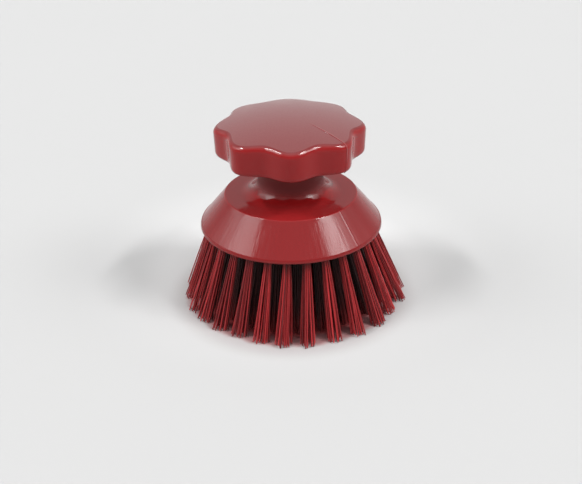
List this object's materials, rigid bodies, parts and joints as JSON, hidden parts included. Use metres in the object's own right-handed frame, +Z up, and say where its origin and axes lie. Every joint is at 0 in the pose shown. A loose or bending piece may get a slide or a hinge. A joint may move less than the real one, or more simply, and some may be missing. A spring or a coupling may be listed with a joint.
{
  "type": "round scrub brush",
  "caption": "Round hand scrub brush: a crowned, lobed palm knob on a waisted neck over a conical stock, with splayed tufts of stiff filament in drilled holes.",
  "frame": {"origin": "on the brush's axis, in the plane that the trimmed bristle tips stand on", "axes": "+Z up the axis from the bristle tips to the knob; -Y is the front, where one lobe of the knob points; +X is to the right seen from the front"},
  "size_m": [0.1158, 0.1159, 0.1004],
  "materials": {
    "stock_plastic": "satin moulded polypropylene",
    "bristle_plastic": "extruded polyester filament"
  },
  "bodies": {
    "root": {"stock": "stock_plastic", "tuft_outer_01": "bristle_plastic", "tuft_outer_02": "bristle_plastic", "tuft_outer_03": "bristle_plastic", "tuft_outer_04": "bristle_plastic", "tuft_outer_05": "bristle_plastic", "tuft_outer_06": "bristle_plastic", "tuft_outer_07": "bristle_plastic", "tuft_outer_08": "bristle_plastic", "tuft_outer_09": "bristle_plastic", "tuft_outer_10": "bristle_plastic", "tuft_outer_11": "bristle_plastic", "tuft_outer_12": "bristle_plastic", "tuft_outer_13": "bristle_plastic", "tuft_outer_14": "bristle_plastic", "tuft_outer_15": "bristle_plastic", "tuft_outer_16": "bristle_plastic", "tuft_outer_17": "bristle_plastic", "tuft_outer_18": "bristle_plastic", "tuft_outer_19": "bristle_plastic", "tuft_outer_20": "bristle_plastic", "tuft_outer_21": "bristle_plastic", "tuft_outer_22": "bristle_plastic", "tuft_outer_23": "bristle_plastic", "tuft_outer_24": "bristle_plastic", "tuft_outer_25": "bristle_plastic", "tuft_outer_26": "bristle_plastic", "tuft_outer_27": "bristle_plastic", "tuft_second_01": "bristle_plastic", "tuft_second_02": "bristle_plastic", "tuft_second_03": "bristle_plastic", "tuft_second_04": "bristle_plastic", "tuft_second_05": "bristle_plastic", "tuft_second_06": "bristle_plastic", "tuft_second_07": "bristle_plastic", "tuft_second_08": "bristle_plastic", "tuft_second_09": "bristle_plastic", "tuft_second_10": "bristle_plastic", "tuft_second_11": "bristle_plastic", "tuft_second_12": "bristle_plastic", "tuft_second_13": "bristle_plastic", "tuft_second_14": "bristle_plastic", "tuft_second_15": "bristle_plastic", "tuft_second_16": "bristle_plastic", "tuft_second_17": "bristle_plastic", "tuft_second_18": "bristle_plastic", "tuft_second_19": "bristle_plastic", "tuft_second_20": "bristle_plastic", "tuft_second_21": "bristle_plastic", "tuft_third_01": "bristle_plastic", "tuft_third_02": "bristle_plastic", "tuft_third_03": "bristle_plastic", "tuft_third_04": "bristle_plastic", "tuft_third_05": "bristle_plastic", "tuft_third_06": "bristle_plastic", "tuft_third_07": "bristle_plastic", "tuft_third_08": "bristle_plastic", "tuft_inner_01": "bristle_plastic", "tuft_inner_02": "bristle_plastic", "tuft_inner_03": "bristle_plastic"}
  },
  "joints": []
}
